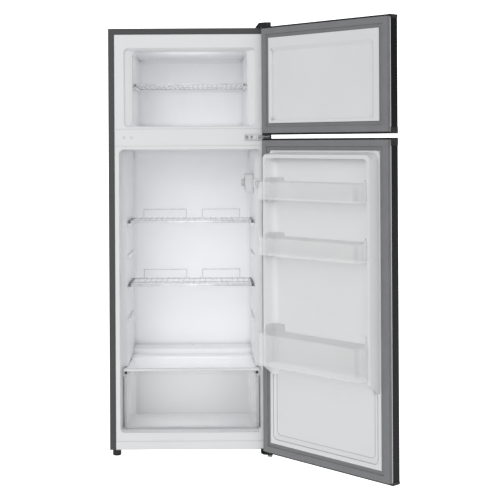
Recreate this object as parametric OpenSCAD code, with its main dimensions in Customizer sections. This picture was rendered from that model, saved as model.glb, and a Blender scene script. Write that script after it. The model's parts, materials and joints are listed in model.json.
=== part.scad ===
// Two-door top freezer refrigerator, doors hinged on the right and drawn standing open.
// X runs across the front, Y runs from the front to the back, Z runs up from the floor.
// The origin is on the floor, under the middle of the cabinet.

/* [Cabinet] */
// Width of the cabinet
cab_w = 545; // [520:5:600]
// Depth of the cabinet without the doors
cab_d = 500; // [490:5:540]
// Height from the floor to the top of the cabinet
cab_h = 1430; // [1425:5:1500]
// Height of the cabinet's underside above the floor
ground_gap = 22; // [20:1:24]
// Width of the painted steel flange round the front
flange_w = 20.5; // [16:0.5:21]
// Thickness of the painted steel sheet
sheet = 0.8; // [0.5:0.1:1]
// Thickness of the moulded liners
liner_t = 2; // [1.5:0.1:2.2]

/* [Doors] */
// Angle that the doors are drawn open at
door_open = 132; // [95:1:150]
// Thickness of a door from its front skin to the seal's face
door_t = 46; // [44:1:50]
// Height of the split between the two doors
door_split = 1066; // [1064:1:1068]
// Gap between the two doors
door_gap = 12; // [11:0.5:13]
// Distance of the hinge axis from the side of the cabinet
hinge_in = 11.5; // [11:0.5:12.5]
// Distance of the hinge axis in front of the cabinet
hinge_out = 26.6; // [26:0.2:28]
// Diameter of the hinge pins
pin_d = 9.9; // [8:0.1:10]
// Width of the door seals
seal_w = 32; // [28:1:34]

/* [Compartments] */
// Width of the refrigerator opening
fresh_w = 476; // [470:1:478]
// Height of the refrigerator compartment's floor
fresh_floor = 78; // [76:1:80]
// Height of the refrigerator opening's top edge
fresh_top = 1026; // [1020:1:1028]
// Width of the freezer's inner opening
ice_w = 387; // [370:1:390]
// Height of the freezer's floor
ice_floor = 1104; // [1102:1:1108]
// Height of the freezer's ceiling
ice_top = 1354; // [1340:1:1360]

/* [Shelves and bins] */
// Height of the freezer shelf
ice_shelf_z = 1243; // [1200:1:1280]
// Heights of the shelf ribs in the refrigerator, from the top down
rib_levels = [770, 661, 552, 443];
// Number of wires that run from front to back on a shelf
wires = 22; // [14:1:26]
// Heights of the undersides of the three door bins
bin_levels = [864, 684, 329];
// Heights of the three door bins
bin_heights = [56, 57, 101];

/* [Hidden] */

$fn = 48;
half_w = cab_w / 2;
gap = 0.4;                         // clearance between pieces that move past each other
far = 600;                         // longer than any part, for cuts that go right through
flange_z = cab_h - flange_w;       // lower edge of the top flange
frame_y = sheet + 0.1;             // the white front frame lies behind the steel flange
mullion_low = 1037.5;              // the cover strip between the two compartments
mullion_high = 1094;
rail_top = 50;                     // top of the white strip under the refrigerator

// Refrigerator compartment, as depths behind the front plane and half widths
fresh_half = fresh_w / 2;
fresh_back = 424;
fresh_shelf_half = 219;            // half width where the shelves start
fresh_back_half = 214;
step_start = 70;                   // the side walls step in between these depths
step_end = 110;
ledge_z = 284;                     // the walls are wider below this height
crisper_front_half = 233.5;
crisper_taper = 0.0525;
hump = [[286, fresh_floor], [289, 169], [297, 279], [301, 283], [338, 284], [345, 300], [424, 305]];

// Freezer compartment
ice_half = ice_w / 2;
ice_back = 395;
rim_half = 221;
rim_low = ice_floor - 4;
rim_high = ice_top + 11;

// Machine compartment behind the hump
deck_front = 331;
deck_knee = [331, 150];
deck_top = [397, 256];

// Doors, in the closed position: Y is minus the distance in front of the cabinet
ice_door_low = door_split + door_gap / 2;
ice_door_high = cab_h - 0.5;
fresh_door_low = 20;
fresh_door_high = door_split - door_gap / 2;
hinge_x = half_w - hinge_in;
cap_t = 6;                         // height of an end cap's edge
seal_front = 1;                    // distance from the seal's face to the closed cabinet
flange_n = 10;                     // distance of the door liner's flange from the cabinet
panel_n = 8;                       // distance of the door liner's panel from the cabinet
raised_n = 2;                      // distance of the freezer door's raised border
dish_n = 10.2;                     // distance of the freezer door's sunken field
rim_n = 4;                         // distance of the border round the fridge door's lower field
seal_edge = 5.5;                   // the seal's distance from the edge of the door
seal_lip = 4.4;                    // width of the thin lip beside the seal
dyke_n = -36;                      // how far the ridges reach into the compartment
dyke_half = 235;
dyke_peak_half = 226;
bay_half = 216;                    // half width between the ridges
bin_half = 214.5;
bin_ears = [12, 12, 24];           // how far the side walls of the bins rise at the back
bin_n = -80;
bushing_r = 8;
bore_r = pin_d / 2 + 0.05;

// Wire sizes
wire_d = 3;
frame_wire_d = 4.5;
bar_d = 8.5;

module from_front() {
    translate([0, -cab_d / 2, 0]) children();
}

module on_door() {
    from_front() translate([hinge_x, -hinge_out, 0]) rotate([0, 0, door_open])
        translate([-hinge_x, hinge_out, 0]) children();
}

module along_x(x0, x1) {
    translate([x0, 0, 0]) rotate([90, 0, 90]) linear_extrude(x1 - x0) children();
}

module along_y(y0, y1) {
    translate([0, y1, 0]) rotate([90, 0, 0]) linear_extrude(y1 - y0) children();
}

module along_z(z0, z1) {
    translate([0, 0, z0]) linear_extrude(z1 - z0) children();
}

// A block given by its two opposite corners
module block(low, high) {
    translate(low) cube(high - low);
}

module both_sides() {
    children();
    mirror([1, 0, 0]) children();
}

module round_square(low, high, r) {
    translate([low[0] + r, low[1]]) square([high[0] - low[0] - 2 * r, high[1] - low[1]]);
    translate([low[0], low[1] + r]) square([high[0] - low[0], high[1] - low[1] - 2 * r]);
    for (x = [low[0] + r, high[0] - r], y = [low[1] + r, high[1] - r]) translate([x, y]) circle(r);
}

// Mirrors a list of [half width, depth] points into a closed outline
function two_sided(points) = concat(points, [for (i = [len(points) - 1:-1:0]) [-points[i][0], points[i][1]]]);

// Moves smoothly from 0 to 1
function ease(t) = (1 - cos(180 * t)) / 2;

// ---------- refrigerator and freezer compartments ----------

// Half outline of the upper part of the refrigerator compartment, seen from above
function fresh_side(g) = concat(
    [[fresh_half + g, -1], [fresh_half + g, 2], [fresh_half - 3 + g, 20]],
    [for (i = [0:8]) [
        fresh_half - 4 + g - (fresh_half - 4 - fresh_shelf_half) * ease(i / 8),
        step_start + (step_end - step_start) * i / 8
    ]]
);

function crisper_half(depth) = crisper_front_half - (depth - 55) * crisper_taper;

module fresh_plan(g, r) {
    polygon(two_sided(concat(
        fresh_side(g),
        [[fresh_back_half + g, fresh_back + g - r], [fresh_back_half + g - r, fresh_back + g]]
    )));
    for (side = [-1, 1]) translate([side * (fresh_back_half + g - r), fresh_back + g - r]) circle(r);
}

module crisper_plan(g) {
    polygon(two_sided([
        [fresh_half + g, -1],
        [fresh_half + g, 2],
        [crisper_front_half + g, 55],
        [crisper_half(fresh_back) + g, fresh_back]
    ]));
}

module fresh_profile(g) {
    ceiling_r = 34;
    high = fresh_top + g;
    back = fresh_back + g;
    polygon(concat(
        [[-1, fresh_floor - g]],
        [for (p = hump) p + [g, -g]],
        [[back, high - 6 - ceiling_r], [back - ceiling_r, high - 6], [2, high], [-1, high]]
    ));
    translate([back - ceiling_r, high - 6 - ceiling_r]) circle(ceiling_r);
}

module fresh_form(g) {
    intersection() {
        union() {
            along_z(ledge_z - g, fresh_top + 10) fresh_plan(g, 8 + g);
            along_z(fresh_floor - 10, ledge_z + g) crisper_plan(g);
        }
        along_x(-far / 2, far / 2) fresh_profile(g);
        along_y(-1, fresh_back + 10) round_square(
            [-fresh_half - g, fresh_floor - g], [fresh_half + g, fresh_top + g], 17 + g);
    }
}

module ice_form(g) {
    corner_r = 20 + g;
    back = ice_back + g;
    intersection() {
        along_z(rim_low - 10, rim_high + 10) {
            polygon(two_sided([
                [rim_half + g, -1],
                [rim_half + g, 1],
                [rim_half - 5 + g, 8 + g],
                [ice_half + 4 + g, 12 + g],
                [ice_half + g, 17 + g],
                [ice_half - 4 + g, back - corner_r],
                [ice_half - 4 + g - corner_r, back]
            ]));
            for (side = [-1, 1]) translate([side * (ice_half - 4 + g - corner_r), back - corner_r])
                circle(corner_r);
        }
        along_x(-far / 2, far / 2) polygon([
            [-1, rim_low - g], [1, rim_low - g], [9 + g, ice_floor - 1 - g], [14 + g, ice_floor - g],
            [back, ice_floor + 1 - g], [back, ice_top - 14 + g], [back - 8, ice_top - 5 + g],
            [14 + g, ice_top + g], [9 + g, ice_top + 3 + g], [1, rim_high + g], [-1, rim_high + g]
        ]);
        union() {
            along_y(-1, 14 + g) round_square([-rim_half - g, rim_low - g], [rim_half + g, rim_high + g], 17);
            along_y(-1, back) round_square(
                [-ice_half - g, ice_floor - 1 - g], [ice_half + g, ice_top + 1 + g], 15);
        }
    }
}

// A moulded rib that carries a shelf, level with the wires at its top
module shelf_rib(inner, front, back, wall_front, wall_back, z) {
    along_z(z - 8, z) polygon([
        [inner + 5, front], [inner, front + 5], [inner, back - 5], [inner + 5, back],
        [wall_back + 1, back], [wall_front + 1, front]
    ]);
}

function fresh_wall(depth) = fresh_shelf_half
    - (depth - step_end) * (fresh_shelf_half - fresh_back_half) / (fresh_back - 8 - step_end);

function ice_wall(depth) = ice_half - 4 * (depth - 17) / (ice_back - 37);

module freezer_liner() color("white") from_front() {
    difference() {
        union() {
            block([-half_w + 16.5, frame_y, mullion_high], [half_w - 16.5, frame_y + liner_t, flange_z + 4]);
            intersection() {
                ice_form(liner_t);
                block([-far, frame_y, 0], [far, far, cab_h]);
            }
        }
        ice_form(0);
    }
    both_sides() shelf_rib(ice_half - 10, 60, 360, ice_wall(60), ice_wall(360), ice_shelf_z - 4);
}

module fridge_liner() color("white") from_front() {
    difference() {
        union() {
            block([-half_w + 16.5, frame_y, rail_top + 0.6],
                [half_w - 16.5, frame_y + liner_t, mullion_low - 0.6]);
            intersection() {
                fresh_form(liner_t);
                block([-far, frame_y, 0], [far, far, cab_h]);
            }
        }
        fresh_form(0);
        translate([0, drain_depth, hump[6][1] - 10]) cylinder(h = 20, r = 4);
    }
    both_sides() for (z = rib_levels)
        shelf_rib(fresh_shelf_half - 10, 122, 330, fresh_wall(122), fresh_wall(330), z);
}

module mullion_cover() color("white") from_front() {
    difference() {
        block([-half_w + 16.5, frame_y, mullion_low], [half_w - 16.5, frame_y + 1.2, mullion_high - 0.6]);
        for (x = plug_xs) translate([x, 0, plug_z]) rotate([-90, 0, 0]) cylinder(h = 10, r = 3);
    }
}

plug_xs = [-220.5, -195.5];
plug_z = 1065;

module mullion_plugs() color("whitesmoke") from_front() {
    for (x = plug_xs) translate([x, 0, plug_z]) rotate([-90, 0, 0]) {
        translate([0, 0, -0.9]) cylinder(h = 0.9 + frame_y, r = 5);
        cylinder(h = frame_y + 2, r = 3);
    }
}

module bottom_rail() color("white") from_front() {
    block([-half_w + 16.5, frame_y, ground_gap + 1.2], [half_w - 16.5, frame_y + 1.2, rail_top]);
}

// ---------- outer casing ----------

module outer_shell() color("dimgray") from_front() {
    back = cab_d - 2 * sheet;
    both_sides() {
        block([half_w - sheet, 0, ground_gap], [half_w, back, cab_h]);
        block([half_w - flange_w, 0, ground_gap], [half_w, sheet, cab_h]);
        block([half_w - 12, back - sheet, ground_gap], [half_w, back, cab_h]);
    }
    block([-half_w, 0, cab_h - sheet], [half_w, back, cab_h]);
    block([-half_w, 0, flange_z], [half_w, sheet, cab_h]);
    block([-half_w, back - sheet, cab_h - 12], [half_w, back, cab_h]);
}

module back_panel() color("dimgray") from_front() {
    y = cab_d - 2 * sheet;
    block([-half_w + 1, y, deck_top[1] + 4], [half_w - 1, y + sheet, cab_h - 1]);
    for (z = [400, 640, 880, 1120]) block([-180, y + sheet, z], [180, y + 2 * sheet, z + 60]);
}

module bottom_deck() color("silver") from_front() {
    t = 1;
    difference() {
        along_x(-half_w + 1, half_w - 1) polygon([
            [frame_y, ground_gap], [deck_front, ground_gap], deck_knee + [0, 0.7], deck_top + [0.4, 0],
            [cab_d - 3, deck_top[1]], [cab_d - 3, deck_top[1] + t], deck_top + [-0.2, t],
            deck_knee + [-t, 1], [deck_front - t, ground_gap + t], [frame_y, ground_gap + t]
        ]);
        for (x = [-foot_x, foot_x]) translate([x, foot_depth, 0]) cylinder(h = far, r = stud_r + 0.3);
        translate([0, drain_depth, deck_top[1] - 5]) cylinder(h = 10, r = 7.5);
    }
}

module cabinet_foam() color("khaki") from_front() {
    difference() {
        block([-half_w + 1.2, frame_y + 2.3, ground_gap + 1.3], [half_w - 1.2, cab_d - 3, cab_h - 1.2]);
        fresh_form(liner_t + gap);
        ice_form(liner_t + gap);
        along_x(-far / 2, far / 2) polygon([
            [deck_front - 1.5, 0], deck_knee + [-1.5, 1.2], deck_top + [-0.7, 1.5],
            [far, deck_top[1] + 1.5], [far, 0]
        ]);
        block([-180.5, ice_back + liner_t, 1114], [180.5, ice_back + liner_t + 4.5, 1341]);
        block([-190.5, fresh_back + liner_t, 599], [190.5, fresh_back + liner_t + 4.5, 981]);
        both_sides() {
            block([half_w - 7.5, 40, 90], [half_w, 460, 1410]);
            translate([foot_x, foot_depth, 0]) cylinder(h = 48, r = stud_r + 3);
        }
        translate([0, drain_depth, 240]) cylinder(h = 70, r = 7.5);
    }
}

// ---------- cooling system ----------

comp_y = 418;
comp_r = 72;
grommet_xs = [-78, 78];
grommet_ys = [comp_y - 40, comp_y + 40];
drain_depth = 410;

module base_plate() color("silver") from_front() {
    z = ground_gap;
    difference() {
        union() {
            block([-half_w + 1, deck_front + 0.5, z], [half_w - 1, cab_d - 3, z + 1.5]);
            block([-half_w + 1, cab_d - 4.5, z], [half_w - 1, cab_d - 3, z + 14]);
            for (x = grommet_xs, y = grommet_ys) translate([x, y, z]) cylinder(h = 26, r = 4);
        }
        for (x = [-225, 225]) translate([x, 470, 0]) cylinder(h = 60, r = 4);
    }
}

module compressor() color("black") from_front() {
    plate_z = ground_gap + 16;
    difference() {
        union() {
            translate([0, comp_y, 0]) rotate_extrude($fn = 64) {
                translate([0, 42]) square([comp_r - 18, 18]);
                translate([comp_r - 18, 60]) circle(18);
                translate([0, 60]) square([comp_r, 75]);
                translate([0, 97]) square([comp_r + 2.5, 6]);
                translate([comp_r - 32, 135]) intersection() {
                    circle(32);
                    square(40);
                }
                translate([0, 135]) square([comp_r - 32, 32]);
            }
            block([-94, comp_y - 56, plate_z], [94, comp_y + 56, plate_z + 6]);
        }
        translate([comp_r - 18, 0, 0]) cylinder(h = 1, r = 1);
        for (x = grommet_xs, y = grommet_ys) translate([x, y, plate_z - 5]) cylinder(h = 20, r = 6);
    }
}

module compressor_grommets() color("dimgray") from_front() {
    for (x = grommet_xs, y = grommet_ys) translate([x, y, ground_gap + 1.5]) difference() {
        union() {
            cylinder(h = 14.5, r = 11);
            cylinder(h = 22, r = 5.9);
        }
        translate([0, 0, -1]) cylinder(h = 30, r = 4.05);
    }
}

module terminal_cover() color("black") from_front() {
    difference() {
        block([56, comp_y - 30, 62], [104, comp_y + 30, 130]);
        translate([0, comp_y, 0]) cylinder(h = 200, r = comp_r + 3);
        block([70, comp_y - 27, 65], [101, comp_y + 27, 127]);
    }
}

// A bent tube through a list of points
module tube_run(points, r) {
    for (i = [0:len(points) - 2]) {
        step = points[i + 1] - points[i];
        length = norm(step);
        translate(points[i]) rotate([0, acos(step[2] / length), atan2(step[1], step[0])])
            cylinder(h = length, r = r, $fn = 8);
    }
    for (i = [1:len(points) - 2]) translate(points[i]) cube(2.1 * r, center = true);
}

module refrigerant_tubes() color("peru") from_front() {
    tube_run([[-79, 430, 90], [-120, 430, 90], [-120, 470, 90], [-120, 470, 215], [-180, 470, 215],
        [-180, 470, 236]], 3);
    tube_run([[-76, 400, 120], [-150, 400, 120], [-150, 440, 120], [-150, 440, 250]], 4);
    tube_run([[-230, 440, 143], [-230, 440, 160], [-230, 400, 160], [-230, 400, 240]], 2);
}

module filter_drier() color("peru") from_front() {
    translate([-230, 440, 40]) {
        cylinder(h = 12, r1 = 3, r2 = 9);
        translate([0, 0, 12]) cylinder(h = 76, r = 9);
        translate([0, 0, 88]) cylinder(h = 14, r1 = 9, r2 = 3);
    }
}

module drain_pan() color("black") from_front() {
    difference() {
        along_z(167.3, 190) round_square([-80, comp_y - 52], [80, comp_y + 56], 12);
        along_z(170, 200) round_square([-77.5, comp_y - 49.5], [77.5, comp_y + 53.5], 9.5);
    }
}

module drain_tube() color("gray") from_front() {
    difference() {
        translate([0, drain_depth, 196]) cylinder(h = 105, r = 7);
        translate([0, drain_depth, 190]) cylinder(h = 130, r = 5.5);
    }
}

module power_inlet() color("black") from_front() {
    translate([180, cab_d - 26, 0]) difference() {
        union() {
            block([-14, 0, ground_gap + 1.5], [14, 4, 68]);
            translate([0, -4, 50]) rotate([-90, 0, 0]) cylinder(h = 22, r = 10);
            translate([0, 4, 50]) rotate([-90, 0, 0]) cylinder(h = 4, r = 13);
        }
        translate([0, -10, 50]) rotate([-90, 0, 0]) cylinder(h = 40, r = 3.75);
    }
}

module freezer_evaporator() color("silver") from_front() {
    block([-180, ice_back + liner_t + 0.5, 1114.5], [180, ice_back + liner_t + 4, 1340.5]);
}

module fridge_evaporator() color("silver") from_front() {
    block([-190, fresh_back + liner_t + 0.5, 599.5], [190, fresh_back + liner_t + 4, 980.5]);
}

// A serpentine tube against the inside of each side panel
module condenser_coil() color("peru") from_front() {
    pitch = 48;
    low = 130;
    high = 1370;
    both_sides() translate([half_w - 3.9, 0, 0]) {
        for (i = [0:5]) translate([0, 60 + pitch * i, low]) cylinder(h = high - low, r = 2.4, $fn = 8);
        for (i = [0:4]) translate([0, 60 + pitch * i, i % 2 == 0 ? high : low])
            rotate([-90, 0, 0]) cylinder(h = pitch, r = 2.4, $fn = 8);
    }
}

// ---------- thermostat, lamp and switch ----------

box_low = 874;
box_high = 936;
box_x = 189;
box_front = 150;
box_back = 290;
knob_y = 252;
knob_z = 905;

module thermostat_housing() color("whitesmoke") from_front() {
    difference() {
        along_z(box_low, box_high) polygon([
            [box_x + 5, box_front], [box_x, box_front + 5], [box_x, box_back],
            [fresh_wall(box_back) - 0.2, box_back], [fresh_wall(box_front) - 0.2, box_front]
        ]);
        block([box_x + 2, box_front + 6, box_low + 4], [box_x + 26, 215, box_high - 4]);
        block([box_x - 1, box_front + 10, box_low + 8], [box_x + 3, 211, box_high - 8]);
        block([box_x + 3, 219, box_low + 4], [box_x + 26, box_back - 4, box_high - 4]);
        translate([box_x - 1, knob_y, knob_z]) rotate([0, 90, 0]) cylinder(h = 8, r = 3.05);
    }
}

module thermostat_knob() color("white") from_front() {
    translate([box_x, knob_y, knob_z]) rotate([0, -90, 0]) {
        translate([0, 0, 0.5]) cylinder(h = 2.5, r = 14.5);
        translate([0, 0, 3]) cylinder(h = 6.5, r = 12.5);
        translate([-11, -1.6, 9.5]) cube([22, 3.2, 2.5]);
        translate([0, 0, -12]) cylinder(h = 13, r = 3);
    }
}

module lamp_bulb() color("ivory") from_front() {
    translate([box_x + 14, 207, knob_z]) rotate([90, 0, 0]) {
        translate([0, 0, -8]) cylinder(h = 16, r = 7);
        translate([0, 0, 8]) cylinder(h = 16, r = 5.5);
        translate([0, 0, 27]) sphere(r = 9);
    }
}

module lamp_lens() color("lightgray", 0.6) from_front() {
    block([box_x - 0.8, box_front + 10.3, box_low + 8.3], [box_x + 1.8, 210.7, box_high - 8.3]);
}

switch_low = [221, 40, 900];
switch_high = [229, 108, 913];

module light_switch_body() color("white") from_front() {
    difference() {
        intersection() {
            block([216, 84, 894], [240, 118, 919]);
            along_z(890, 925) polygon(two_sided(concat(fresh_side(-0.3), [[fresh_wall(120) - 0.3, 120]])));
        }
        block([switch_low[0] - gap, 80, switch_low[2] - gap], [240, 116, switch_high[2] + gap]);
    }
}

module light_switch_button() color("whitesmoke") from_front() {
    intersection() {
        block(switch_low, switch_high);
        along_z(890, 925) polygon([
            [switch_low[0], 46], [223.5, 40], [226.5, 40], [228.2, 46], [228.2, 76], [223, 88],
            [switch_low[0], 88]
        ]);
    }
}

// ---------- hinges ----------

top_plate_z = cab_h;

module top_hinge() color("silver") from_front() {
    z = top_plate_z;
    along_z(z, z + 3) difference() {
        union() {
            polygon([[228, 10], [228, 62], [267, 62], [267, 0], [hinge_x + 6, -hinge_out],
                [hinge_x - 6, -hinge_out]]);
            translate([hinge_x, -hinge_out]) circle(6.5);
        }
        for (p = top_screws) translate(p) circle(2.5);
    }
    translate([hinge_x, -hinge_out, z - 18]) cylinder(h = 19, r = pin_d / 2);
}

top_screws = [[238, 25], [238, 50], [258, 50]];
mid_screws = [191, 206, 233];
low_screws = [240, 256];

module top_hinge_cover() color("black") from_front() {
    z = top_plate_z + 0.2;
    difference() {
        intersection() {
            along_z(z, z + 16) polygon([[222, 2], [222, 68], [271, 68], [271, -32], [266, -36.6], [256, -36.6],
                [251, -32]]);
            along_x(200, 280) polygon([[-50, z], [-50, z + 9], [-30, z + 16], [55, z + 16], [75, z + 9],
                [75, z]]);
            along_y(-50, 80) polygon([[210, z], [222, z + 5], [232, z + 16], [275, z + 16], [275, z]]);
        }
        intersection() {
            along_z(z - 1, z + 14) polygon([[224.5, 4], [224.5, 65.5], [268.8, 65.5], [268.8, -31.1],
                [265.2, -34.4], [256.8, -34.4], [253.2, -31.1]]);
            along_x(200, 280) polygon([[-50, z - 2], [-50, z + 7], [-30, z + 14], [55, z + 14],
                [75, z + 7], [75, z - 2]]);
            along_y(-50, 80) polygon([[212, z - 2], [224.5, z + 3.5], [234, z + 14], [275, z + 14],
                [275, z - 2]]);
        }
    }
}

module middle_hinge() color("silver") from_front() {
    z = door_split - 1.5;
    difference() {
        block([183, -4.2, z - 9.5], [half_w - 6, 0, z + 9.5]);
        for (span = [[185, 223], [227, 248]]) block([span[0], -9, z - 7.6], [span[1], -2.5, z + 7.6]);
        for (x = mid_screws) translate([x, -5, z]) rotate([-90, 0, 0]) cylinder(h = 8, r = 2.5);
    }
    along_z(z, z + 3) {
        polygon([[238, 0], [half_w - 6, 0], [hinge_x + 11, -hinge_out], [hinge_x - 11, -hinge_out]]);
        translate([hinge_x, -hinge_out]) circle(11);
    }
    translate([hinge_x, -hinge_out, z - 18]) cylinder(h = 39, r = pin_d / 2);
}

module bottom_hinge() color("black") from_front() {
    z = 9;
    difference() {
        block([231, -2.5, z], [half_w - 4, 0, 24]);
        for (x = low_screws) translate([x, -5, z + 8.5]) rotate([-90, 0, 0]) cylinder(h = 8, r = 2.5);
    }
    along_z(z, z + 3) {
        polygon([[231, 0], [half_w - 4, 0], [hinge_x + 9, -hinge_out], [hinge_x - 9, -hinge_out]]);
        translate([hinge_x, -hinge_out]) circle(9);
        polygon([[231, 0], [236, -16], [250, -24], [250, 0]]);
    }
    translate([hinge_x, -hinge_out, z]) cylinder(h = 29, r = pin_d / 2);
    translate([hinge_x, -hinge_out, 3]) cylinder(h = z - 3, r = 7.5, $fn = 6);
}

// A pan head with a cross slot and the part of the shank that sits in the bracket
module screw() {
    difference() {
        union() {
            translate([0, 0, -2.5]) cylinder(h = 2.5, r = 2.45);
            cylinder(h = 1.8, r = 4.5);
        }
        for (turn = [0, 90]) rotate([0, 0, turn]) translate([-2.6, -0.5, 0.8]) cube([5.2, 1, 2]);
    }
}

module hinge_screws() color("silver") from_front() {
    for (p = top_screws) translate([p[0], p[1], top_plate_z + 3]) screw();
    for (x = mid_screws) translate([x, -2.5, door_split - 1.5]) rotate([90, 0, 0]) screw();
    for (x = low_screws) translate([x, -2.5, 17.5]) rotate([90, 0, 0]) screw();
}

// ---------- feet ----------

foot_x = 250.5;
foot_depth = 24;
stud_r = 4;

module foot() {
    translate([0, 0, 3]) cylinder(h = 16, r = 14.5);
    cylinder(h = 3, r = 13);
    translate([0, 0, 19]) cylinder(h = 2.4, r = 9);
    translate([0, 0, 21]) cylinder(h = 24, r = stud_r);
}

module front_foot_left() color("black") from_front() translate([-foot_x, foot_depth, 0]) foot();

module front_foot_right() color("black") from_front() translate([foot_x, foot_depth, 0]) foot();

module rear_feet() color("black") from_front() {
    for (x = [-225, 225]) translate([x, 470, 0]) {
        cylinder(h = ground_gap, r = 15);
        cylinder(h = ground_gap + 8, r = 3.95);
    }
}

// ---------- shelves ----------

module rod(from, to, d) {
    step = to - from;
    length = norm(step);
    translate(from) rotate([0, acos(step[2] / length), atan2(step[1], step[0])]) rotate([0, 0, 22.5])
        cylinder(h = length, d = d, $fn = 8);
}

// A wire shelf: a thick front bar, cross wires and thin wires from front to back that lie on them
module wire_shelf(half, front, back, z, bar) {
    frame_z = z - frame_wire_d / 2;
    top_z = z + wire_d / 2 - 0.5;
    rod([-half, front, z + 0.5], [half, front, z + 0.5], bar);
    rod([-half, back, frame_z], [half, back, frame_z], frame_wire_d);
    rod([-half + 12, (front + back) / 2, frame_z], [half - 12, (front + back) / 2, frame_z], frame_wire_d);
    for (side = [-1, 1]) rod([side * (half - 3), front, frame_z], [side * (half - 3), back, frame_z],
        frame_wire_d);
    inset = 12;
    for (i = [0:wires - 1]) {
        x = -half + inset + (2 * half - 2 * inset) * i / (wires - 1);
        rod([x, front, top_z], [x, back + 1, top_z], wire_d);
    }
}

shelf_front = 126;
shelf_back = 352;
shelf_half = 214.5;

module freezer_shelf() color("white") from_front()
    wire_shelf(ice_half - 5.5, 48, 366, ice_shelf_z + 0.7, 5);

wire_pitch = (2 * shelf_half - 24) / (wires - 1);

// The place halfway between two thin wires that lies nearest to x
function between_wires(x) =
    12 - shelf_half + wire_pitch * (floor((x + shelf_half - 12) / wire_pitch) + 0.5);

// Two low wire rails that stand on the rear wire of a shelf
module rear_rails(z) {
    rail_z = z + 31;
    for (span = [[-0.82, -0.08], [0.135, 0.81]]) {
        ends = [for (share = span) between_wires(share * shelf_half)];
        for (x = ends) rod([x, shelf_back, z - frame_wire_d / 2], [x, shelf_back, rail_z], wire_d);
        rod([ends[0] - 1, shelf_back, rail_z], [ends[1] + 1, shelf_back, rail_z], wire_d);
    }
}

upper_wire_z = rib_levels[0] + 4.9;
lower_wire_z = rib_levels[2] + 4.9;

module upper_shelf() color("white") from_front()
    wire_shelf(shelf_half, shelf_front, shelf_back, upper_wire_z, bar_d);

module upper_shelf_rails() color("white") from_front() {
    rear_z = upper_wire_z - frame_wire_d / 2;
    difference() {
        rear_rails(upper_wire_z);
        rod([-shelf_half, shelf_back, rear_z], [shelf_half, shelf_back, rear_z], frame_wire_d);
    }
}

module lower_shelf() color("white") from_front() {
    wire_shelf(shelf_half, shelf_front, shelf_back, lower_wire_z, bar_d);
    rear_rails(lower_wire_z);
}

// ---------- crisper ----------

cover_z = 275;

module crisper_cover() color("lightblue", 0.5) from_front() {
    along_z(cover_z, cover_z + 4) polygon(two_sided([[crisper_half(70) - 2.2, 70], [crisper_half(284) - 2.2, 284]]));
}

module crisper_cover_trim() color("white") from_front() {
    half = crisper_half(56) - 3;
    difference() {
        along_x(-half, half) union() {
            polygon([[58, cover_z - 2], [80, cover_z - 2], [80, cover_z + 6], [58, cover_z + 6]]);
            translate([58, cover_z + 2]) circle(4);
        }
        along_z(cover_z - gap / 4, cover_z + 4 + gap / 4) polygon(two_sided([[300, 69.9], [300, 81]]));
    }
}

module crisper_bumpers() color("black") from_front() {
    both_sides() along_z(cover_z - 11, cover_z - 2) round_square([218, 58], [227, 66], 3);
}

drawer_low = 79.5;
drawer_high = 261.5;

module crisper_drawer() color("lightblue", 0.5) from_front() {
    wall = 2.4;
    front = 57;
    back = 281;
    panel_half = crisper_half(60) - 2.5;
    difference() {
        union() {
            along_y(front, front + 4) round_square([-panel_half, drawer_low], [panel_half, drawer_high], 9);
            along_z(drawer_low, drawer_high - 6) drawer_plan(0, front + 2, back);
            along_z(drawer_high - 10, drawer_high - 6) drawer_plan(-3, front + 2, back + 2);
        }
        along_z(drawer_low + 2.6, far) drawer_plan(wall, front + 4, back - wall);
    }
}

module drawer_plan(inset, front, back) {
    r = 12 - inset;
    x0 = 222 - inset;
    x1 = 208 - inset;
    polygon(two_sided([[x0, front], [x1, back - r], [x1 - r, back]]));
    for (side = [-1, 1]) translate([side * (x1 - r), back - r]) circle(r);
}

// ---------- doors ----------

// Folded steel skin: the front face and the two sides, open at the top and the bottom
module door_skin(low, high) {
    corner_r = 5;
    along_z(low + cap_t, high - cap_t) difference() {
        union() {
            translate([-half_w, -door_t + corner_r]) square([cab_w, door_t - corner_r - flange_n - 2]);
            translate([-half_w + corner_r, -door_t]) square([cab_w - 2 * corner_r, door_t - flange_n - 2]);
            for (side = [-1, 1]) translate([side * (half_w - corner_r), -door_t + corner_r]) circle(corner_r);
        }
        inner_r = corner_r - sheet;
        translate([-half_w + sheet, -door_t + corner_r])
            square([cab_w - 2 * sheet, door_t]);
        translate([-half_w + corner_r, -door_t + sheet])
            square([cab_w - 2 * corner_r, door_t]);
        for (side = [-1, 1]) translate([side * (half_w - corner_r), -door_t + corner_r]) circle(inner_r);
    }
}

// Moulded end cap: a plate over the end of the door, a block for the hinge bushing
// and a taller piece that wraps the free edge
module door_cap(z0, z1, inward, wrap) {
    r = 6;
    difference() {
        union() {
            along_z(z0, z1) {
                translate([-half_w - 0.8, -door_t - 0.4 + r]) square([cab_w + 1.2, door_t - r - 9.1]);
                translate([-half_w - 0.8 + r, -door_t - 0.4]) square([cab_w + 1.2 - 2 * r, 20]);
                for (x = [-half_w - 0.8 + r, half_w + 0.4 - r])
                    translate([x, -door_t - 0.4 + r]) circle(r);
            }
            block_low = inward > 0 ? z1 : z0 - 18;
            block([hinge_x - 12, -hinge_out - 12, block_low], [hinge_x + 10, -hinge_out + 12, block_low + 18]);
            wrap_low = inward > 0 ? z0 : z1 - wrap;
            block([-half_w - 1.8, -door_t + 4, wrap_low], [-half_w - 0.1, -flange_n, wrap_low + wrap]);
        }
        bore_low = inward > 0 ? z0 - 1 : z1 - 20;
        translate([hinge_x, -hinge_out, bore_low]) cylinder(h = 21, r = bushing_r);
    }
}

module door_bushings(levels) {
    for (z = levels) translate([hinge_x, -hinge_out, z]) difference() {
        cylinder(h = 18, r = bushing_r - 0.02);
        translate([0, 0, -1]) cylinder(h = 20, r = bore_r);
    }
}

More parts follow.
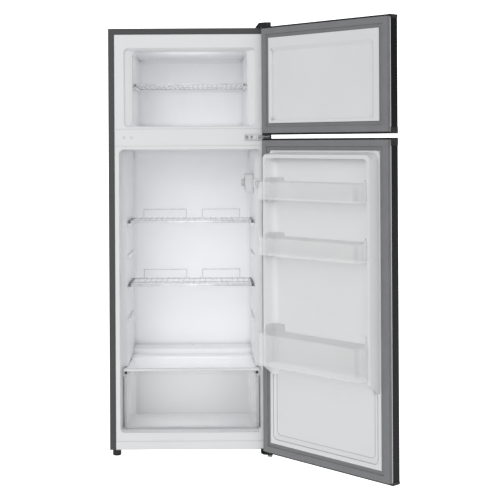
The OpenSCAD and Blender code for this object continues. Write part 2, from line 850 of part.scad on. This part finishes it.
// Seal: a magnetic bead on the outside and a thin lip on the inside, mitred round the door
module door_gasket(low, high) {
    outer_x = half_w - seal_edge;
    outer_low = low + seal_edge + 0.5;
    outer_high = high - seal_edge - 0.5;
    difference() {
        union() {
            block([-outer_x, -flange_n, outer_low], [outer_x, -seal_front, outer_high]);
            block([-outer_x - seal_lip, -flange_n, outer_low],
                [outer_x + seal_lip, -flange_n + 1.4, outer_high]);
        }
        block([-outer_x + seal_w, -far, outer_low + seal_w], [outer_x - seal_w, far, outer_high - seal_w]);
        block([-outer_x + 20, -5, outer_low + 20], [outer_x - 20, far, outer_high - 20]);
    }
}

module door_fill(low, high) {
    difference() {
        block([-half_w + 1, -door_t + 1.2, low + cap_t + 0.2], [half_w - 1, -flange_n - 2.1, high - cap_t - 0.2]);
        for (z = [low, high - 26]) block([hinge_x - 12.4, -hinge_out - 12.4, z],
            [half_w, -hinge_out + 12.4, z + 26]);
        for (side = [-1, 1]) translate([side * half_w, -door_t, 0]) rotate([0, 0, 45])
            cube([8, 8, 3 * cab_h], center = true);
    }
}

// Sheet with a raised field: flange at the back, field nearer to the cabinet
module liner_flange(low, high) {
    block([-half_w + 0.3, -flange_n - 2, low + cap_t + 0.1], [half_w - 0.3, -flange_n, high - cap_t - 0.1]);
}

module freezer_door_skin() color("black") on_door() door_skin(ice_door_low, ice_door_high);

module fridge_door_skin() color("black") on_door() door_skin(fresh_door_low, fresh_door_high);

module freezer_door_foam() color("khaki") on_door() door_fill(ice_door_low, ice_door_high);

module fridge_door_foam() color("khaki") on_door() {
    door_fill(fresh_door_low, fresh_door_high);
    dyke_ring(2.5);
}

module freezer_door_liner() color("white") on_door() {
    low = ice_door_low + seal_edge + 1 + seal_w;
    high = ice_door_high - seal_edge - 1 - seal_w;
    dish_low = low + 6;
    dish_high = high - 32;
    difference() {
        union() {
            liner_flange(ice_door_low, ice_door_high);
            block([-dyke_half, -flange_n - 1, low], [dyke_half, -raised_n, high]);
        }
        intersection() {
            along_z(dish_low, dish_high) polygon([[-213, -raised_n], [-203, -dish_n], [223, -dish_n],
                [227, -raised_n], [227, 0], [-213, 0]]);
            along_x(-far, far) polygon([[-raised_n, dish_low], [-dish_n, dish_low + 6],
                [-dish_n, dish_high - 13], [-raised_n, dish_high], [0, dish_high], [0, dish_low]]);
            along_y(-dish_n - 1, 1) round_square([-213, dish_low], [227, dish_high], 14);
        }
    }
}

dyke_low = 288;
dyke_peak_low = 318;
dyke_high = 1021;
dyke_peak_high = 1008;
dyke_foot_high = 1016;
dyke_foot_half = 231;
dyke_corner = 38;
bay_high = 996;
bay_corner = 14;
bay_fillet = 20;                   // radius between the ridge and the panel

// The ridge round the shelves of the door, an upside-down U with sloping outsides
module dyke_ring(inset) {
    difference() {
        intersection() {
            along_z(dyke_low + inset, dyke_high - inset) polygon([
                [-dyke_half + inset, -flange_n - inset], [-dyke_half + inset, -rim_n - inset],
                [-dyke_foot_half + inset, -rim_n - inset],
                [-dyke_peak_half + inset, -dyke_n - inset], [dyke_peak_half - inset, -dyke_n - inset],
                [dyke_foot_half - inset, -rim_n - inset],
                [dyke_half - inset, -rim_n - inset], [dyke_half - inset, -flange_n - inset]
            ]);
            along_x(-far, far) polygon([
                [-flange_n - inset, dyke_low + inset], [-rim_n, dyke_low + inset],
                [-dyke_n - inset, dyke_peak_low + inset], [-dyke_n - inset, dyke_peak_high - inset],
                [-rim_n - inset, dyke_foot_high - inset], [-rim_n - inset, dyke_high - inset],
                [-flange_n - inset, dyke_high - inset]
            ]);
            union() {
                along_y(-flange_n - inset, -rim_n - inset) round_square(
                    [-dyke_half + inset, 0], [dyke_half - inset, dyke_high - inset], 16 - inset);
                along_y(-rim_n - inset - 0.01, -dyke_n) round_square(
                    [-dyke_foot_half + inset, 0], [dyke_foot_half - inset, dyke_foot_high - inset],
                    dyke_corner - inset);
            }
        }
        along_y(-far, far) round_square(
            [-bay_half - inset, -far], [bay_half + inset, bay_high + inset], bay_corner + inset);
    }
}

module fridge_door_liner() color("white") on_door() {
    low = fresh_door_low + seal_edge + 1 + seal_w;
    difference() {
        union() {
            liner_flange(fresh_door_low, fresh_door_high);
            block([-dyke_half, -flange_n - 1, low], [dyke_half, -panel_n, dyke_high]);
            dyke_ring(0);
            difference() {
                block([-dyke_half, -flange_n - 1, low], [dyke_half, -rim_n, dyke_low + 1]);
                lower_field(low + 14);
                field_groove(low + 14, 223, rim_n + 3);
            }
            bin_lugs();
        }
        translate([0, -0.1, 0]) dyke_ring(2.2);
        field_groove(low + 30, 209, panel_n + 1.6);
    }
}

// The shallow field below the ridge, with sloping sides and round lower corners
module lower_field(low) {
    half = 223;
    intersection() {
        along_z(low, far) polygon([[-half, -rim_n], [-half + 8, -panel_n], [half - 8, -panel_n],
            [half, -rim_n], [half, 0], [-half, 0]]);
        along_x(-far, far) polygon([[-rim_n, low], [-panel_n, low + 17], [-panel_n, far], [0, far],
            [0, low]]);
        along_y(-panel_n, 1) round_square([-half, low], [half, far], 16);
    }
}

// A narrow U-shaped groove round the lower field
module field_groove(low, half, depth_n) {
    groove_w = 2.6;
    along_y(-depth_n, 1) difference() {
        translate([-half, low + 16]) square([2 * half, dyke_low - low - 16]);
        translate([-half + groove_w, low]) square([2 * half - 2 * groove_w, far]);
    }
    along_y(-depth_n, 1) intersection() {
        difference() {
            round_square([-half, low], [half, low + 60], 16);
            round_square([-half + groove_w, low + groove_w], [half - groove_w, low + 90], 16 - groove_w);
        }
        translate([-half, low]) square([2 * half, 16.01]);
    }
}

// Short ledges that carry the bins, and the round corners beside them
module bin_lugs() {
    both_sides() {
        for (z = bin_levels) block([bay_half - 7, -panel_n, z - 9], [bay_half + 1, 30, z - gap]);
        along_z(dyke_low, bay_high + 1) difference() {
            translate([bay_half - bay_fillet, -panel_n - 1]) square([bay_fillet + 1, bay_fillet + 1]);
            translate([bay_half - bay_fillet, -panel_n + bay_fillet]) circle(bay_fillet);
        }
    }
}

module freezer_door_gasket() color("gray") on_door() door_gasket(ice_door_low, ice_door_high);

module fridge_door_gasket() color("gray") on_door() door_gasket(fresh_door_low, fresh_door_high);

module freezer_door_top_cap() color("black") on_door()
    door_cap(ice_door_high - cap_t, ice_door_high, -1, 11);

module freezer_door_bottom_cap() color("black") on_door()
    door_cap(ice_door_low, ice_door_low + cap_t, 1, 20);

module fridge_door_top_cap() color("black") on_door()
    door_cap(fresh_door_high - cap_t, fresh_door_high, -1, 24);

module fridge_door_bottom_cap() color("black") on_door()
    door_cap(fresh_door_low, fresh_door_low + cap_t, 1, 9);

module freezer_door_bushings() color("whitesmoke") on_door()
    door_bushings([ice_door_low + 1, ice_door_high - 19]);

module fridge_door_bushings() color("whitesmoke") on_door()
    door_bushings([fresh_door_low + 1, fresh_door_high - 19]);

// A clear bin with round front corners, standing on the lugs between the ridges
module door_bin(level) {
    wall = 2.2;
    r = 18;
    low = bin_levels[level];
    high = low + bin_heights[level];
    back = -6.5;
    difference() {
        union() {
            along_z(low, high) bin_plan(0, back, -bin_n, r);
            along_z(high - 5, high) bin_plan(0, back, -bin_n + 2, r);
        }
        along_z(low + wall, high + 1) bin_plan(wall, back + wall, -bin_n - wall, r - wall);
    }
    ear = bin_ears[level];
    intersection() {
        along_z(high - 1, high + ear) difference() {
            bin_plan(0, back, -bin_n, r);
            bin_plan(wall, back + wall, -bin_n - wall, r - wall);
        }
        both_sides() along_x(bin_half - 42, bin_half + 1) polygon([[back - 1, high - 2],
            [back - 1, high + ear + 1], [34, high + ear + 1], [48, high - 2]]);
    }
}

module bin_plan(inset, back, front, r) {
    half = bin_half - inset;
    rear_r = bay_fillet - inset;
    translate([-half, back + rear_r]) square([2 * half, front - back - r - rear_r]);
    translate([-half + rear_r, back]) square([2 * half - 2 * rear_r, front - back - r]);
    translate([-half + r, back + rear_r]) square([2 * half - 2 * r, front - back - rear_r]);
    for (side = [-1, 1]) {
        translate([side * (half - r), front - r]) circle(r);
        translate([side * (half - rear_r), back + rear_r]) circle(rear_r);
    }
}

module top_bin() color("lightblue", 0.5) on_door() door_bin(0);

module middle_bin() color("lightblue", 0.5) on_door() door_bin(1);

module bottom_bin() color("lightblue", 0.5) on_door() door_bin(2);

outer_shell();
back_panel();
bottom_deck();
cabinet_foam();
freezer_liner();
fridge_liner();
mullion_cover();
mullion_plugs();
bottom_rail();
base_plate();
compressor();
compressor_grommets();
terminal_cover();
refrigerant_tubes();
filter_drier();
drain_pan();
drain_tube();
power_inlet();
freezer_evaporator();
fridge_evaporator();
condenser_coil();
thermostat_housing();
thermostat_knob();
lamp_bulb();
lamp_lens();
light_switch_body();
light_switch_button();
top_hinge();
top_hinge_cover();
middle_hinge();
bottom_hinge();
hinge_screws();
front_foot_left();
front_foot_right();
rear_feet();
freezer_shelf();
upper_shelf();
upper_shelf_rails();
lower_shelf();
crisper_cover();
crisper_cover_trim();
crisper_bumpers();
crisper_drawer();
freezer_door_skin();
freezer_door_foam();
freezer_door_liner();
freezer_door_gasket();
freezer_door_top_cap();
freezer_door_bottom_cap();
freezer_door_bushings();
fridge_door_skin();
fridge_door_foam();
fridge_door_liner();
fridge_door_gasket();
fridge_door_top_cap();
fridge_door_bottom_cap();
fridge_door_bushings();
top_bin();
middle_bin();
bottom_bin();
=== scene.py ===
import json
import math
import bpy
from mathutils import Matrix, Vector

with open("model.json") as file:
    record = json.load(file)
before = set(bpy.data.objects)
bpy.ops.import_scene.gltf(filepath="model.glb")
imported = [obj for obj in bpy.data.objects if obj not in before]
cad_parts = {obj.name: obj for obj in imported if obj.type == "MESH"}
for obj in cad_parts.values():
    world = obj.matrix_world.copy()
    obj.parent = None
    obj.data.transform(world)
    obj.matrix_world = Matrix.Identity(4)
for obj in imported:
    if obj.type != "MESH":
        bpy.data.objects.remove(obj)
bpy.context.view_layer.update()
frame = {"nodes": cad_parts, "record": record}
nodes = frame["nodes"]

# ---------- sizes of the object, in metres ----------

FRONT = -0.250             # Y of the cabinet's front plane
WIRE_END_SHADE = 0.2085           # distance from the middle at which the painted shade on the ends of the refrigerator shelves' wires begins
SHORT_WIRE_END_SHADE = 0.182      # the same on the freezer's shelf
TRAY_SIDES = 0.2286        # the drawer's outer sides, where painted shade darkens them as seen end on
COVER_SIDES = 0.2182       # the same for the clear shelf over it, at the cabinet's middle
COVER_TAPER = 0.0525       # how much that shelf narrows per metre of depth
LOW_SCREWS = 0.1           # screws under this height are black, as the bottom hinge is
NUT_TOP = 0.0088           # top of the bright nut under the bottom hinge

# ---------- looks ----------

CREASE_SHADE_REACH = 0.022       # how far from a corner the painted shade in a moulding reaches
END_BLEND = 0.0015         # width over which a dark end fades in
TONE_BLEND = 0.0004        # height over which one colour turns into another
GRAIN_RELIEF = 0.0006      # height of the grain's relief
LIFT = (1.03, 1.03, 1.03, 1)    # makes up for what the specks take away
GREY_SPECKS = 0.05         # strength of the fine specks that every surface has
WELD_WITHIN = 0.00002      # points closer than this are one point
SHARP_EDGE = math.radians(32)   # edges sharper than this are rounded


# ---------- materials ----------

def link(tree, a, b):
    tree.links.new(a, b)


def shade_creases(t, p, color, depth):
    """Paints shade into the narrow inner corners and gaps of a moulding: an ambient occlusion node darkens
    its colour there.
    """
    corner = t.nodes.new("ShaderNodeAmbientOcclusion")
    corner.inputs["Distance"].default_value = CREASE_SHADE_REACH
    corner.samples = 8
    amount = t.nodes.new("ShaderNodeMapRange")
    amount.inputs["From Min"].default_value = 0.25
    amount.inputs["From Max"].default_value = 0.85
    amount.inputs["To Min"].default_value = 1.0 - depth
    amount.inputs["To Max"].default_value = 1.0
    link(t, corner.outputs["AO"], amount.inputs["Value"])
    shade = t.nodes.new("ShaderNodeMixRGB")
    shade.blend_type = "MULTIPLY"
    shade.inputs["Fac"].default_value = 1.0
    link(t, color, shade.inputs["Color1"])
    link(t, amount.outputs["Result"], shade.inputs["Color2"])
    link(t, shade.outputs["Color"], p.inputs["Base Color"])


def surface(name, color, other, rough, rough_more, grain, grain_size, blotch_size, metallic=0.0, coat=0.0,
            alpha=1.0, specular=0.5, dust=0.0, crease_shade=0.0):
    """A surface whose colour and gloss drift in soft patches, with a fine relief of its own grain."""
    m = bpy.data.materials.new(name)
    m.use_nodes = True
    t = m.node_tree
    t.nodes.clear()
    out = t.nodes.new("ShaderNodeOutputMaterial")
    p = t.nodes.new("ShaderNodeBsdfPrincipled")
    link(t, p.outputs[0], out.inputs[0])
    p.inputs["Metallic"].default_value = metallic
    p.inputs["Specular IOR Level"].default_value = specular
    p.inputs["Coat Weight"].default_value = coat
    p.inputs["Coat Roughness"].default_value = 0.08
    p.inputs["Alpha"].default_value = alpha
    co = t.nodes.new("ShaderNodeTexCoord")

    blotch = t.nodes.new("ShaderNodeTexNoise")
    blotch.inputs["Scale"].default_value = blotch_size
    blotch.inputs["Detail"].default_value = 4.0
    blotch.inputs["Roughness"].default_value = 0.55
    link(t, co.outputs["Object"], blotch.inputs["Vector"])
    ramp = t.nodes.new("ShaderNodeValToRGB")
    ramp.color_ramp.elements[0].position = 0.36
    ramp.color_ramp.elements[0].color = (*other, 1)
    ramp.color_ramp.elements[1].position = 0.62
    ramp.color_ramp.elements[1].color = (*color, 1)
    link(t, blotch.outputs["Fac"], ramp.inputs["Fac"])

    fine = t.nodes.new("ShaderNodeTexNoise")
    fine.inputs["Scale"].default_value = grain_size
    fine.inputs["Detail"].default_value = 3.0
    link(t, co.outputs["Object"], fine.inputs["Vector"])
    speck = t.nodes.new("ShaderNodeMixRGB")
    speck.blend_type = "MULTIPLY"
    speck.inputs["Fac"].default_value = GREY_SPECKS + dust
    link(t, ramp.outputs["Color"], speck.inputs["Color1"])
    link(t, fine.outputs["Fac"], speck.inputs["Color2"])
    bright = t.nodes.new("ShaderNodeMixRGB")
    bright.blend_type = "MULTIPLY"
    bright.inputs["Fac"].default_value = 1.0
    link(t, speck.outputs["Color"], bright.inputs["Color1"])
    bright.inputs["Color2"].default_value = LIFT
    link(t, bright.outputs["Color"], p.inputs["Base Color"])
    # painted shade in the creases and corners of the moulding
    if crease_shade:
        shade_creases(t, p, bright.outputs["Color"], crease_shade)

    wear = t.nodes.new("ShaderNodeMapRange")
    wear.inputs["From Min"].default_value = 0.3
    wear.inputs["From Max"].default_value = 0.7
    wear.inputs["To Min"].default_value = rough
    wear.inputs["To Max"].default_value = rough + rough_more
    link(t, blotch.outputs["Fac"], wear.inputs["Value"])
    link(t, wear.outputs["Result"], p.inputs["Roughness"])

    bump = t.nodes.new("ShaderNodeBump")
    bump.inputs["Strength"].default_value = grain
    bump.inputs["Distance"].default_value = GRAIN_RELIEF
    link(t, fine.outputs["Fac"], bump.inputs["Height"])
    link(t, bump.outputs["Normal"], p.inputs["Normal"])
    return m


def principled(m):
    """The main shader of a material."""
    return [n for n in m.node_tree.nodes if n.type == "BSDF_PRINCIPLED"][0]


def clear_surface(name, color, head_on, grazing, rim, glow):
    """Clear moulded plastic: seen through head on, milky at its edges and where it turns away.
    head_on and grazing say how solid it looks, rim is painted shade that dims the colour at the edges where
    it turns away,
    and glow is a painted glow: the plastic gives off light of its own, though it is no lamp."""
    m = surface(name, color, tuple(0.95 * c for c in color), 0.05, 0.08, 0.05, 120, 10, specular=0.6)
    t, p = m.node_tree, principled(m)
    edge = t.nodes.new("ShaderNodeLayerWeight")
    edge.inputs["Blend"].default_value = 0.42
    amount = t.nodes.new("ShaderNodeMapRange")
    amount.inputs["To Min"].default_value = head_on
    amount.inputs["To Max"].default_value = grazing
    # painted glow: the clear plastic gives off light, though it is no lamp
    p.inputs["Emission Color"].default_value = (1, 1, 1, 1)
    p.inputs["Emission Strength"].default_value = glow
    link(t, edge.outputs["Facing"], amount.inputs["Value"])
    link(t, amount.outputs["Result"], p.inputs["Alpha"])
    # painted shade: the colour turns darker where the plastic turns away, at its edges
    tone = t.nodes.new("ShaderNodeMixRGB")
    link(t, edge.outputs["Facing"], tone.inputs["Fac"])
    link(t, p.inputs["Base Color"].links[0].from_socket, tone.inputs["Color1"])
    tone.inputs["Color2"].default_value = (*(rim * c for c in color), 1)
    link(t, tone.outputs["Color"], p.inputs["Base Color"])
    return m


def shaded_ends(m, half, dark, taper=0.0):
    """Paints shade on the two ends of a piece along X: on the ends of shelf wires, and on the sides of
    clear plastic seen end on.
    Half is the distance of the painted shade from the middle. With a taper it draws in to the back."""
    t, p = m.node_tree, principled(m)
    co = t.nodes.new("ShaderNodeTexCoord")
    axes = t.nodes.new("ShaderNodeSeparateXYZ")
    link(t, co.outputs["Object"], axes.inputs["Vector"])
    away = t.nodes.new("ShaderNodeMath")
    away.operation = "ABSOLUTE"
    link(t, axes.outputs["X"], away.inputs[0])
    if taper:
        lean = t.nodes.new("ShaderNodeMath")
        lean.operation = "MULTIPLY_ADD"
        link(t, axes.outputs["Y"], lean.inputs[0])
        lean.inputs[1].default_value = taper
        link(t, away.outputs["Value"], lean.inputs[2])
        away = lean
    mask = t.nodes.new("ShaderNodeMapRange")
    mask.inputs["From Min"].default_value = half - END_BLEND
    mask.inputs["From Max"].default_value = half
    link(t, away.outputs["Value"], mask.inputs["Value"])
    mix = t.nodes.new("ShaderNodeMixRGB")
    link(t, mask.outputs["Result"], mix.inputs["Fac"])
    link(t, p.inputs["Base Color"].links[0].from_socket, mix.inputs["Color1"])
    mix.inputs["Color2"].default_value = (*dark, 1)
    link(t, mix.outputs["Color"], p.inputs["Base Color"])
    # on clear plastic the painted shade also darkens its painted glow and makes the shaded ends solid
    if p.inputs["Alpha"].is_linked:
        link(t, mix.outputs["Color"], p.inputs["Emission Color"])
        solid = t.nodes.new("ShaderNodeMath")
        solid.operation = "MAXIMUM"
        link(t, p.inputs["Alpha"].links[0].from_socket, solid.inputs[0])
        link(t, mask.outputs["Result"], solid.inputs[1])
        link(t, solid.outputs["Value"], p.inputs["Alpha"])
    return m


LINER = ((0.90, 0.905, 0.915), (0.885, 0.89, 0.90), 0.30, 0.10, 0.06, 420, 6)
WIRE = ((0.66, 0.66, 0.675), (0.58, 0.58, 0.60), 0.22, 0.14, 0.18, 600, 40)

# One paint for each material slot: colour, second colour, gloss, its drift, grain, size of the grain and of
# the patches, then what is special about it
SURFACES = {
    "dark_steel": ((0.054, 0.054, 0.057), (0.048, 0.048, 0.051), 0.42, 0.10, 0.10, 900, 5,
        {"specular": 0.4}),
    "bare_steel": ((0.56, 0.57, 0.58), (0.44, 0.45, 0.46), 0.30, 0.18, 0.20, 500, 22, {"metallic": 1.0}),
    "foam": ((0.62, 0.60, 0.55), (0.52, 0.50, 0.44), 0.80, 0.15, 0.9, 700, 60, {"dust": 0.2}),
    # crease_shade is painted shade in the corners and gaps of these mouldings
    "white_liner": (*LINER, {"crease_shade": 0.36}),
    "white_trim": ((0.90, 0.905, 0.915), (0.885, 0.89, 0.90), 0.32, 0.10, 0.06, 480, 8, {"crease_shade": 0.22}),
    "white_small": ((0.80, 0.80, 0.81), (0.74, 0.74, 0.75), 0.34, 0.12, 0.12, 700, 25, {}),
    "black_enamel": ((0.020, 0.020, 0.022), (0.030, 0.030, 0.031), 0.32, 0.22, 0.35, 380, 30,
        {"coat": 0.2}),
    "black_rubber": ((0.022, 0.022, 0.023), (0.034, 0.034, 0.034), 0.62, 0.2, 0.5, 900, 60, {}),
    "black_plastic": ((0.010, 0.010, 0.011), (0.016, 0.016, 0.017), 0.42, 0.18, 0.35, 800, 30,
        {"specular": 0.25}),
    "copper_tube": ((0.63, 0.29, 0.15), (0.40, 0.19, 0.11), 0.26, 0.25, 0.15, 500, 45, {"metallic": 1.0}),
    "grey_plastic": ((0.33, 0.33, 0.34), (0.27, 0.27, 0.28), 0.45, 0.15, 0.2, 700, 30, {}),
    "aluminium_sheet": ((0.77, 0.77, 0.78), (0.62, 0.62, 0.64), 0.30, 0.2, 0.2, 500, 18, {"metallic": 1.0}),
    "lamp_glass": ((0.93, 0.91, 0.84), (0.86, 0.84, 0.78), 0.10, 0.1, 0.05, 300, 30, {"alpha": 0.75}),
    "lens": ((0.80, 0.82, 0.84), (0.72, 0.74, 0.76), 0.20, 0.15, 0.4, 500, 20, {"alpha": 0.55}),
    "zinc_steel": ((0.42, 0.42, 0.43), (0.20, 0.20, 0.21), 0.42, 0.22, 0.35, 450, 90, {"metallic": 1.0}),
    "black_steel": ((0.016, 0.016, 0.017), (0.030, 0.030, 0.030), 0.34, 0.2, 0.3, 600, 40, {}),
    "white_wire": (*WIRE, {"coat": 0.3}),
    "black_skin": ((0.004, 0.004, 0.005), (0.006, 0.006, 0.007), 0.22, 0.12, 0.10, 800, 6,
        {"specular": 0.12}),
    "grey_gasket": ((0.235, 0.238, 0.247), (0.215, 0.218, 0.227), 0.50, 0.16, 0.35, 650, 18, {}),
}
MATERIALS = {name: surface(name, *values, **more) for name, (*values, more) in SURFACES.items()}
MATERIALS["clear_plastic"] = clear_surface("clear_plastic", (0.95, 0.955, 0.965), 0.05, 0.60, 0.64, 0.18)

slots = {s["node"]: s["material_slot"] for s in frame["record"]["subparts"]}

# Widths of the rounded edges, and the pieces that have them
bevels = {}
for width, names in (
    (0.0004, "bottom_deck base_plate"),
    (0.0005, "middle_hinge bottom_hinge top_hinge"),
    (0.0006, "crisper_cover"),
    (0.0008, "outer_shell thermostat_knob light_switch_button power_inlet freezer_door_top_cap "
             "freezer_door_bottom_cap fridge_door_top_cap fridge_door_bottom_cap crisper_bumpers "
             "compressor_grommets"),
    (0.0009, "top_bin middle_bin bottom_bin"),
    (0.0010, "bottom_rail crisper_drawer crisper_cover_trim compressor"),
    (0.0012, "freezer_door_gasket fridge_door_gasket front_foot_left front_foot_right rear_feet "
             "drain_pan"),
    (0.0015, "top_hinge_cover light_switch_body terminal_cover"),
    (0.0022, "freezer_door_liner"),
    (0.0030, "thermostat_housing"),
    (0.0035, "fridge_door_liner"),
    (0.0040, "freezer_liner fridge_liner"),
):
    bevels.update(dict.fromkeys(names.split(), width))


def soften(ob, width):
    """Rounds the sharp edges of a piece."""
    weld = ob.modifiers.new("weld", "WELD")
    weld.merge_threshold = WELD_WITHIN
    b = ob.modifiers.new("edge", "BEVEL")
    b.width = width
    b.segments = 3
    b.limit_method = "ANGLE"
    b.angle_limit = SHARP_EDGE
    b.harden_normals = True
    b.use_clamp_overlap = True
    w = ob.modifiers.new("normals", "WEIGHTED_NORMAL")
    w.keep_sharp = True


def two_tone(m, height, below):
    """Gives the part of a piece under a height another colour."""
    t, p = m.node_tree, principled(m)
    co = t.nodes.new("ShaderNodeTexCoord")
    axes = t.nodes.new("ShaderNodeSeparateXYZ")
    link(t, co.outputs["Object"], axes.inputs["Vector"])
    mask = t.nodes.new("ShaderNodeMapRange")
    mask.inputs["From Min"].default_value = height + TONE_BLEND
    mask.inputs["From Max"].default_value = height
    link(t, axes.outputs["Z"], mask.inputs["Value"])
    mix = t.nodes.new("ShaderNodeMixRGB")
    link(t, mask.outputs["Result"], mix.inputs["Fac"])
    link(t, p.inputs["Base Color"].links[0].from_socket, mix.inputs["Color1"])
    mix.inputs["Color2"].default_value = (*below, 1)
    link(t, mix.outputs["Color"], p.inputs["Base Color"])
    return m


CLEAR = (0.93, 0.935, 0.945)
# the ends of the shelf wires get painted shade, not a colour of their own
end_shaded = shaded_ends(surface("end_shaded_wire", *WIRE, coat=0.3), WIRE_END_SHADE, (0.10, 0.10, 0.105))
lower_screws = (0.012, 0.012, 0.012)
bright_nut = (0.50, 0.50, 0.51)
special = {
    "freezer_door_liner": surface("door_liner", *LINER, crease_shade=0.75),
    "crisper_cover": shaded_ends(clear_surface("clear_cover", CLEAR, 0.05, 0.55, 0.9, 0.20), COVER_SIDES,
                                 (0.10, 0.10, 0.105), COVER_TAPER),
    "crisper_drawer": shaded_ends(clear_surface("clear_drawer", CLEAR, 0.04, 0.58, 0.66, 0.12), TRAY_SIDES,
                                  (0.05, 0.05, 0.052)),
    "thermostat_housing": surface("control_box", (0.70, 0.705, 0.715), (0.66, 0.665, 0.675), 0.36, 0.1, 0.1,
                                  480, 12, crease_shade=0.3),
    "thermostat_knob": surface("control_knob", (0.62, 0.62, 0.63), (0.56, 0.56, 0.57), 0.36, 0.1, 0.15,
                               600, 25),
    "middle_hinge": surface("hinge_plate", (0.66, 0.66, 0.67), (0.46, 0.46, 0.47), 0.40, 0.2, 0.3,
                            450, 90, metallic=0.55, crease_shade=0.85),
    "hinge_screws": two_tone(surface("screw_steel", (0.34, 0.34, 0.35), (0.16, 0.16, 0.17), 0.38, 0.2, 0.3,
                                     450, 120, metallic=1.0), LOW_SCREWS, lower_screws),
    "bottom_hinge": two_tone(surface("black_hinge", (0.014, 0.014, 0.015), (0.024, 0.024, 0.024), 0.38, 0.2,
                                     0.3, 600, 40), NUT_TOP, bright_nut),
    "freezer_shelf": shaded_ends(surface("end_shaded_short_wire", *WIRE, coat=0.3), SHORT_WIRE_END_SHADE,
                                 (0.16, 0.16, 0.165)),
    "upper_shelf": end_shaded,
    "upper_shelf_rails": end_shaded,
    "lower_shelf": end_shaded,
}

for name, ob in nodes.items():
    ob.data.materials.clear()
    ob.data.materials.append(special.get(name, MATERIALS[slots[name]]))
    if name in bevels:
        soften(ob, bevels[name])

# ---------- stage ----------

FLOOR_SIZE = 60
DOME_RADIUS = 28
PALE, PALER = (0.895, 0.895, 0.895), (0.90, 0.90, 0.90)


def backdrop_paint(name, glow):
    """Plain pale paint for the studio, which lights itself evenly."""
    m = surface(name, PALER, PALE, 0.8, 0.1, 0.02, 40, 2)
    p = principled(m)
    p.inputs["Emission Color"].default_value = (1, 1, 1, 1)
    p.inputs["Emission Strength"].default_value = glow
    return m


def stage_piece(ob, name, paint):
    """A piece of the studio: seen behind the object and under it, and no lamp for it."""
    ob.name = name
    ob.data.materials.append(paint)
    ob.visible_diffuse = False
    ob.visible_shadow = False


bpy.ops.mesh.primitive_plane_add(size=FLOOR_SIZE, location=(0, 0, 0))
stage_piece(bpy.context.object, "studio_floor", backdrop_paint("floor_paint", 1.0))
bpy.ops.mesh.primitive_uv_sphere_add(segments=48, ring_count=24, radius=DOME_RADIUS, location=(0, 0, 0))
stage_piece(bpy.context.object, "studio_dome", backdrop_paint("dome_paint", 1.0))
bpy.context.object.visible_glossy = False

world = bpy.data.worlds.new("studio")
bpy.context.scene.world = world
world.use_nodes = True
world.node_tree.nodes["Background"].inputs["Color"].default_value = (1, 1, 1, 1)
world.node_tree.nodes["Background"].inputs["Strength"].default_value = 0.50


def sun(name, travel, strength, angle):
    """A soft lamp far away that shines along travel."""
    data = bpy.data.lights.new(name, "SUN")
    data.energy = strength
    data.angle = math.radians(angle)
    ob = bpy.data.objects.new(name, data)
    bpy.context.scene.collection.objects.link(ob)
    ob.rotation_euler = Vector(travel).to_track_quat("-Z", "Y").to_euler()


sun("front_light", (0.16, 1.0, -0.36), 0.78, 45)
sun("glint", (0.22, 1.0, -0.30), 0.12, 7)
sun("back_light", (-0.4, -1.0, -0.5), 0.6, 40)


def fill_light(name, width, height, z, depth, power):
    """A soft panel in the mouth of a compartment that shines onto its back wall."""
    data = bpy.data.lights.new(name, "AREA")
    data.shape = "RECTANGLE"
    data.size = width
    data.size_y = height
    data.energy = power
    ob = bpy.data.objects.new(name, data)
    bpy.context.scene.collection.objects.link(ob)
    ob.location = (0, FRONT + depth, z)
    ob.rotation_euler = Vector((0, 1, 0)).to_track_quat("-Z", "Y").to_euler()
    ob.visible_camera = False
    ob.visible_glossy = False


fill_light("freezer_high_fill", 0.20, 0.04, 1.295, 0.03, 0.10)
fill_light("freezer_low_fill", 0.20, 0.05, 1.150, 0.03, 0.08)
fill_light("refrigerator_fill", 0.15, 0.46, 0.700, 0.03, 0.28)
fill_light("crisper_fill", 0.30, 0.10, 0.180, 0.075, 0.20)

LENS_MM = 87.163
SENSOR_MM = 36.0
SHIFT = (0.0845, -0.2170)            # slides the picture, so that the camera can look level
CAMERA_AT = (0.05946, -4.2957, 1.05115)
CAMERA_ROLL = 0.0054

cam_data = bpy.data.cameras.new("camera")
cam = bpy.data.objects.new("camera", cam_data)
bpy.context.scene.collection.objects.link(cam)
cam_data.lens = LENS_MM
cam_data.sensor_width = SENSOR_MM
cam_data.shift_x, cam_data.shift_y = SHIFT
cam_data.clip_end = 100
cam.location = CAMERA_AT
cam.rotation_euler = (math.radians(90), CAMERA_ROLL, 0)
bpy.context.scene.camera = cam

scene = bpy.context.scene
scene.cycles.diffuse_bounces = 10
scene.cycles.max_bounces = 16
scene.cycles.transparent_max_bounces = 24
scene.view_settings.view_transform = "Standard"
scene.view_settings.look = "None"
scene.view_settings.exposure = 0.0
scene.view_settings.gamma = 1.0
